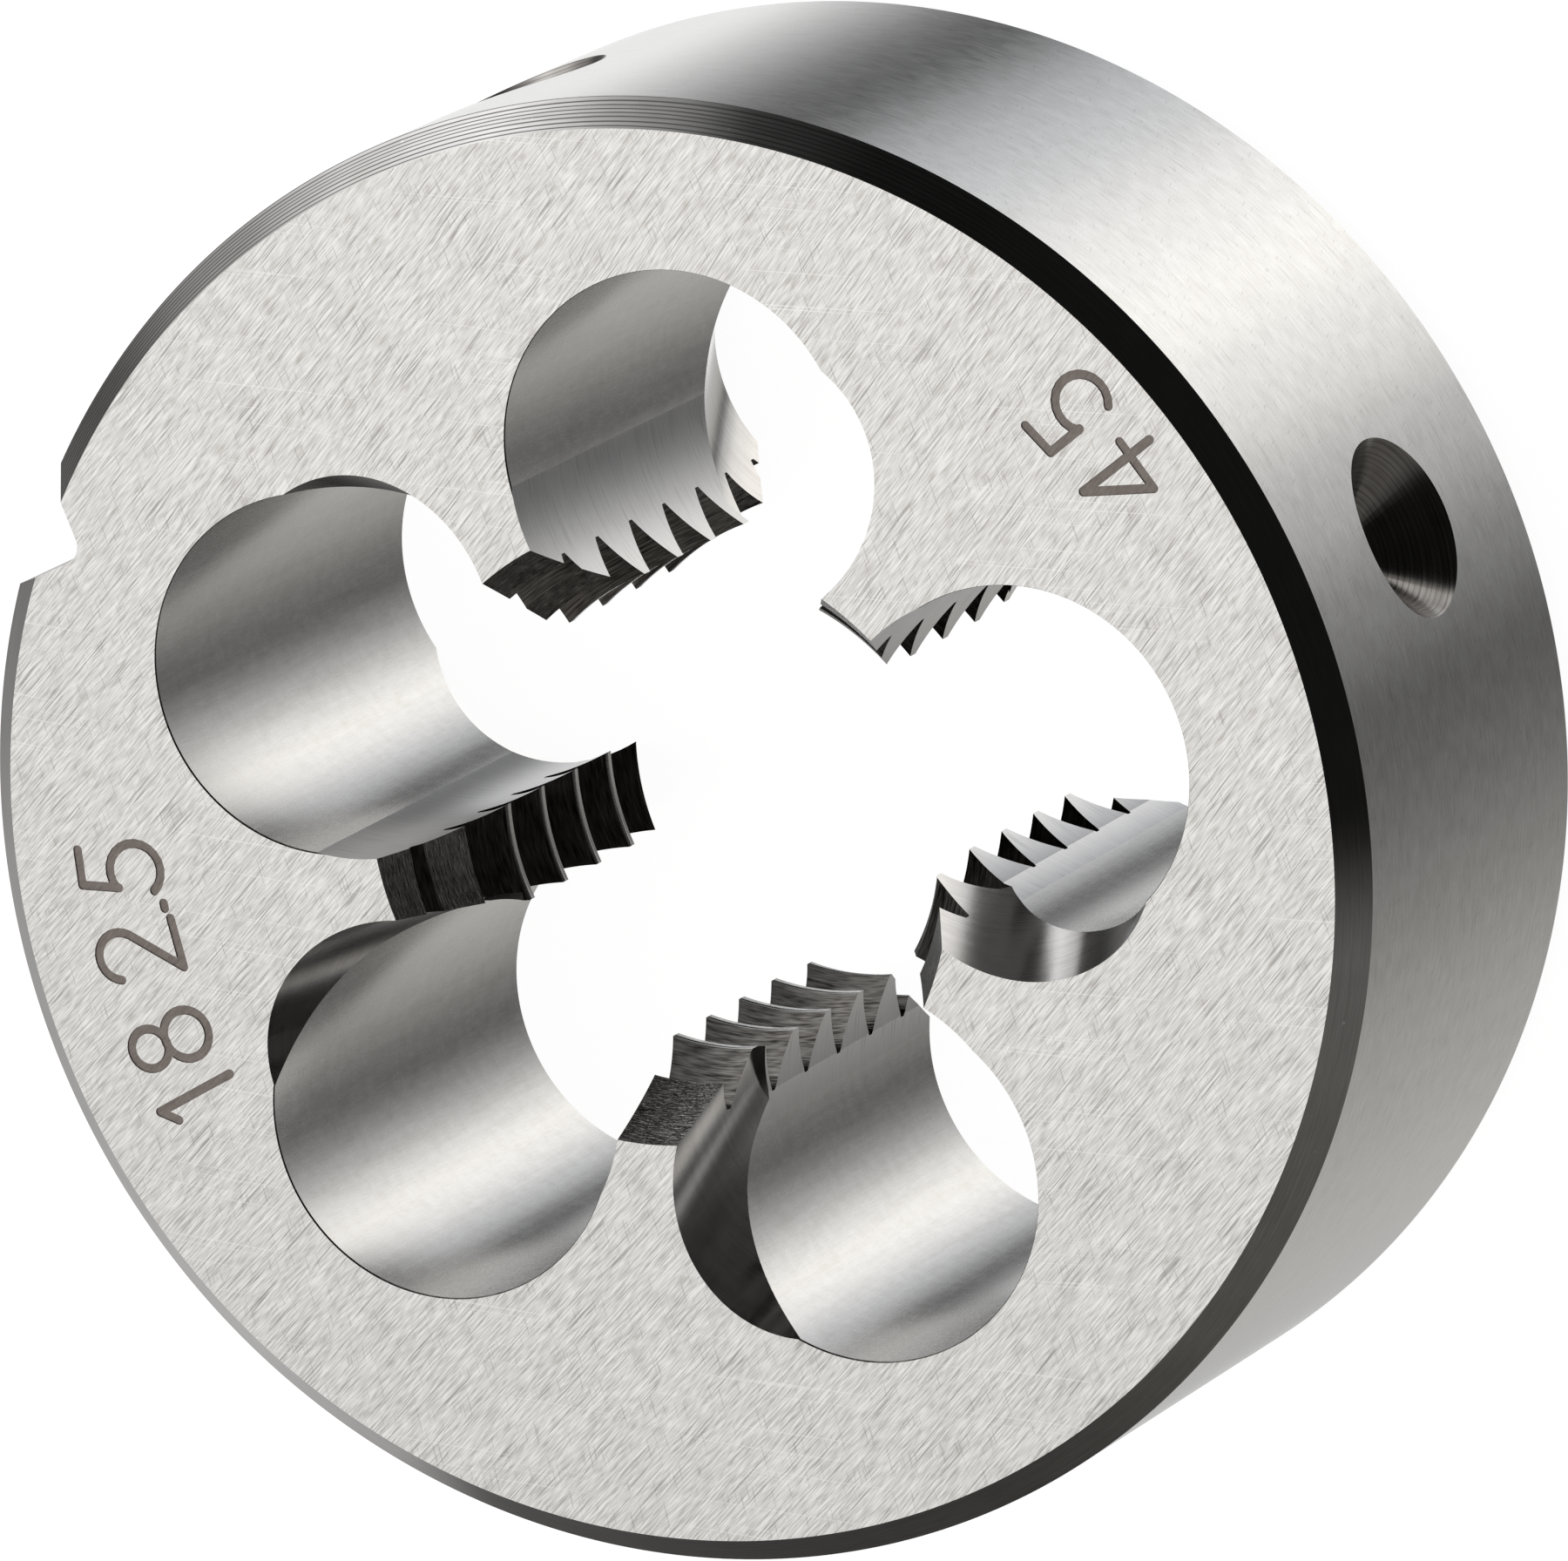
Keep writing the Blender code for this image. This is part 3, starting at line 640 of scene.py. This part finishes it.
    # leads: the same point turned over stands for the rear one
    chosen = corners(names == "leadCone")
    for rear in (False, True):
        some = chosen[(points[chosen, 2] < midHeight) == rear]
        p = turnedOver(points[some]) if rear else points[some]
        slope = rearLeadSlope if rear else leadSlope
        way = unit(p * (1, 1, 0))
        reach = np.hypot(p[:, 0], p[:, 1])
        across = np.column_stack([-way[:, 1], way[:, 0], np.zeros(len(p))])
        normal = unit(-way - across * (lead["relief"] / landAngle / reach)[:, None] + np.array([0, 0, slope]))
        put(some, normal * (1, -1, -1) if rear else normal,
            (np.arctan2(p[:, 1], p[:, 0]) % (2 * pi)) * surfaceMap["leadRadius"], p[:, 2] * stretch["lead"],
            gap["lead"] * rear)
    # broken edges: plain, the map is the plan
    chosen = corners(names == "brokenEdge")
    put(chosen, faceNormal[owner[chosen]], points[chosen, 0] + points[chosen, 1],
        points[chosen, 0] - points[chosen, 1] + points[chosen, 2])
    # notch: a small arc at the bottom, flat beside it
    chosen = corners(names == "milledNotch")
    place = upright(body["radius"] - notch["depth"] + notch["bottomRadius"], 0)
    normal, _, down, distance = aroundTool(points[chosen], middle[names == "milledNotch"], place,
                                           surfaceMap["notchRadius"])
    curved = np.abs(distance - notch["bottomRadius"]) < 0.02
    put(chosen, np.where(curved[:, None], normal, faceNormal[owner[chosen]]), down, points[chosen, 1])
    # screw seats: cones, v runs down the slope
    for i, angle in enumerate([s * a for a in dimple["angles"] for s in (1, -1)]):
        place = dimplePlace(angle)
        near = np.linalg.norm(middle - place[:3, 2] * body["radius"] - (0, 0, midHeight), axis=1) < 5
        mask = (names == "drilledSeat") & near
        chosen = corners(mask)
        normal, around, down, _ = aroundTool(points[chosen], middle[mask], place, surfaceMap["seatRadius"])
        put(chosen, unit(normal + place[:3, 2]), around, down * stretch["seat"], gap["seat"] * i)

    layer = mesh.uv_layers.new(name="surfaceMm")
    layer.data.foreach_set("uv", surface.astype(np.float32).ravel())
    mesh.polygons.foreach_set("use_smooth", np.ones(faces, bool))
    mesh.normals_split_custom_set(normals.astype(np.float32))


dressed(cut)
cut.transform(Matrix.Scale(0.001, 4))
cut.update()
cut.name = "threadingDie"
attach(die, "root")
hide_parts("die_body")
report("surfaces mapped")

# What a user would change on the floor and the light, with lengths in metres
studio = dict(
    # the paper scatters only a share of the light, so that it neither lights the steel from below nor clips
    floorSize=3.0, floorColour="#f4f4f4", floorShare=0.18, floorGlow=0.965,
    lampSize=0.20, lampBrightness=1.16, lampPlace=(0.10, 0.055, 0.31), lampColour=(1.0, 0.968, 0.922),
    # how warm or cool the surround is, by compass bearing
    warmth=((-180, 0.4), (-153, 0.0), (-121, 0.2), (-89, 1.0), (-60, -0.8), (-25, -0.6), (7, 0.0), (80, 0.0),
            (111, 1.0), (150, 1.2), (180, 0.4)),
    # brightness of the surround by compass bearing, from -180 to 180 degrees, in rings from below to above
    # the die. Each ring gives way to the next between two heights (the sine of the elevation).
    rings=(
        (None, ((-180, 0.14), (-165, 0.10), (-150, 0.25), (-129, 0.55), (-110, 0.97), (-93, 1.23), (-78, 1.07),
                (-60, 0.69), (-42, 0.47), (-33, 0.0), (-22, 0.08), (-5, 0.48), (12, 0.88), (27, 0.66), (40, 0.82),
                (58, 0.75), (75, 0.40), (110, 0.41), (140, 0.35), (165, 0.22), (180, 0.14))),
        ((-0.84, -0.72), ((-180, 0.18), (-161, 0.17), (-140, 0.03), (-112, 0.04), (-92, 0.45), (-75, 0.90),
                          (-61, 0.14), (-48, 0.01), (-37, 0.02), (-31, 0.55), (-24, 1.05), (-16, 0.75), (-9, 0.06),
                          (0, 0.04), (15, 0.12), (30, 0.24), (45, 0.36), (60, 0.48), (67, 0.42), (74, 0.10),
                          (90, 0.10), (105, 0.18), (125, 0.18), (145, 0.10), (165, 0.16), (180, 0.18))),
        ((-0.50, -0.32), ((-180, 0.16), (-165, 0.01), (-70, 0.01), (-56, 0.05), (-45, 0.46), (-28, 1.62),
                          (-16, 1.25), (-2, 0.52), (14, 0.15), (30, 0.24), (58, 0.31), (72, 0.05), (110, 0.06),
                          (150, 0.13), (180, 0.16))),
        ((0.38, 0.72), ((-180, 0.08), (-160, 0.02), (-85, 0.02), (-60, 0.15), (-35, 0.35), (0, 0.62), (30, 0.74),
                        (70, 0.74), (110, 0.40), (150, 0.20), (180, 0.08))),
        ((0.93, 0.985), ((-180, 0.74), (180, 0.74))),
    ),
)


# A level square grid of points, each four neighbours a face.
def makeFloor():
    cells = 8
    grid = np.linspace(-0.5, 0.5, cells + 1) * studio["floorSize"]
    x, y = np.meshgrid(grid, grid)
    points = np.column_stack([x.ravel(), y.ravel(), np.zeros(x.size)])
    low = (np.arange(cells)[:, None] * (cells + 1) + np.arange(cells)[None, :]).ravel()
    quads = np.column_stack([low, low + 1, low + cells + 2, low + cells + 1])
    mesh = bpy.data.meshes.new("floor")
    mesh.from_pydata(points.tolist(), [], quads.tolist())
    made = bpy.data.objects.new("floor", mesh)
    bpy.context.scene.collection.objects.link(made)
    paper = newMaterial("whitePaper")  # matt white paper, lit a little from within so that it stays white
    tree = paper.node_tree
    path = addNode(tree, "LightPath")
    seen = addNode(tree, "Math", {0: path.outputs["Is Camera Ray"], 1: path.outputs["Is Glossy Ray"]},
                   operation="MAXIMUM").outputs[0]
    seen = addNode(tree, "Math", {0: seen, 1: path.outputs["Is Transmission Ray"]},
                   operation="MAXIMUM").outputs[0]
    strength = addNode(tree, "Math", {0: seen, 1: studio["floorGlow"]}, operation="MULTIPLY").outputs[0]
    glow = addNode(tree, "Emission", {"Color": (1, 1, 1, 1), "Strength": strength}).outputs[0]
    matt = addNode(tree, "BsdfDiffuse", {"Color": linearColour(studio["floorColour"], studio["floorShare"])})
    both = addNode(tree, "AddShader", {0: glow, 1: matt.outputs[0]}).outputs[0]
    addNode(tree, "OutputMaterial", {"Surface": both})
    mesh.materials.append(paper)
    made.visible_glossy = False  # the metal mirrors the surround below instead, as on a glass table


# A soft studio surround: five rings of brightness by bearing, mixed by height, and plain white for the camera.
# The steel gives back only its share of it, so it is brighter by as much.
def makeSurround():
    world = bpy.data.worlds.new("studioSurround")
    bpy.context.scene.world = world
    world.use_nodes = True
    tree = world.node_tree
    tree.nodes.clear()
    way = addNode(tree, "TexCoord").outputs["Generated"]
    bearing = addNode(tree, "TexGradient", {0: way}, gradient_type="RADIAL").outputs["Fac"]
    height = addNode(tree, "SeparateXYZ", {0: way}).outputs[2]
    full = None
    for heights, stops in studio["rings"]:
        ramp = addNode(tree, "ValToRGB", {0: bearing})
        ramp.color_ramp.interpolation = "EASE"
        elements = ramp.color_ramp.elements
        for i, (degrees, value) in enumerate(stops):
            value /= steelReflectance
            warm = np.interp(degrees, *zip(*studio["warmth"]))
            place = (degrees + 180) / 360
            stop = elements[i] if i < 2 else elements.new(place)  # a ramp comes with two stops of its own
            stop.position = place
            stop.color = ((1 + 0.022 * warm) * value, value, (0.995 - 0.04 * warm) * value, 1)
        ring = ramp.outputs["Color"]
        if heights:
            share = addNode(tree, "MapRange", {0: height, 1: heights[0], 2: heights[1]},
                            interpolation_type="SMOOTHSTEP").outputs[0]
            full = addNode(tree, "Mix", {0: share, 6: full, 7: ring}, data_type="RGBA").outputs[2]
        else:
            full = ring
    path = addNode(tree, "LightPath")
    seen = addNode(tree, "Mix", {0: path.outputs["Is Camera Ray"], 6: full, 7: (1, 1, 1, 1)},
                   data_type="RGBA").outputs[2]
    back = addNode(tree, "Background", {"Color": seen, "Strength": 1.0})
    addNode(tree, "OutputWorld", {"Surface": back.outputs[0]})


# One soft box, high on the side away from the camera, mirrored by the marked face and its far half most.
def makeLamp():
    data = bpy.data.lights.new("softBox", "AREA")
    data.shape = "DISK"
    data.size = studio["lampSize"]
    data.energy = studio["lampBrightness"] * pi * pi * data.size ** 2 / 4
    lamp = bpy.data.objects.new("softBox", data)
    bpy.context.scene.collection.objects.link(lamp)
    lamp.location = studio["lampPlace"]
    lamp.rotation_euler = lamp.location.to_track_quat("Z", "Y").to_euler()
    data.color = studio["lampColour"]


# What a user would change on the camera: its lens in mm, and its turn and place in metres, as the rows of a
# matrix. They were found by fitting the die's edges to those in the photograph.
shot = dict(
    lens=426.63, sensorWidth=36.0, near=0.01, far=10.0,
    rows=((-0.86257, 0.419191, -0.283287, -0.160189), (-0.314097, -0.882641, -0.349697, -0.197516),
          (-0.39663, -0.212659, 0.893006, 0.513617), (0, 0, 0, 1)),
)


def makeCamera():
    data = bpy.data.cameras.new("camera")
    data.lens = shot["lens"]
    data.sensor_width = shot["sensorWidth"]
    data.clip_start, data.clip_end = shot["near"], shot["far"]
    camera = bpy.data.objects.new("camera", data)
    bpy.context.scene.collection.objects.link(camera)
    camera.matrix_world = Matrix(shot["rows"])
    bpy.context.scene.camera = camera


makeFloor()
makeSurround()
makeLamp()
makeCamera()
bpy.context.scene.view_settings.view_transform = "Standard"
report("stage set")
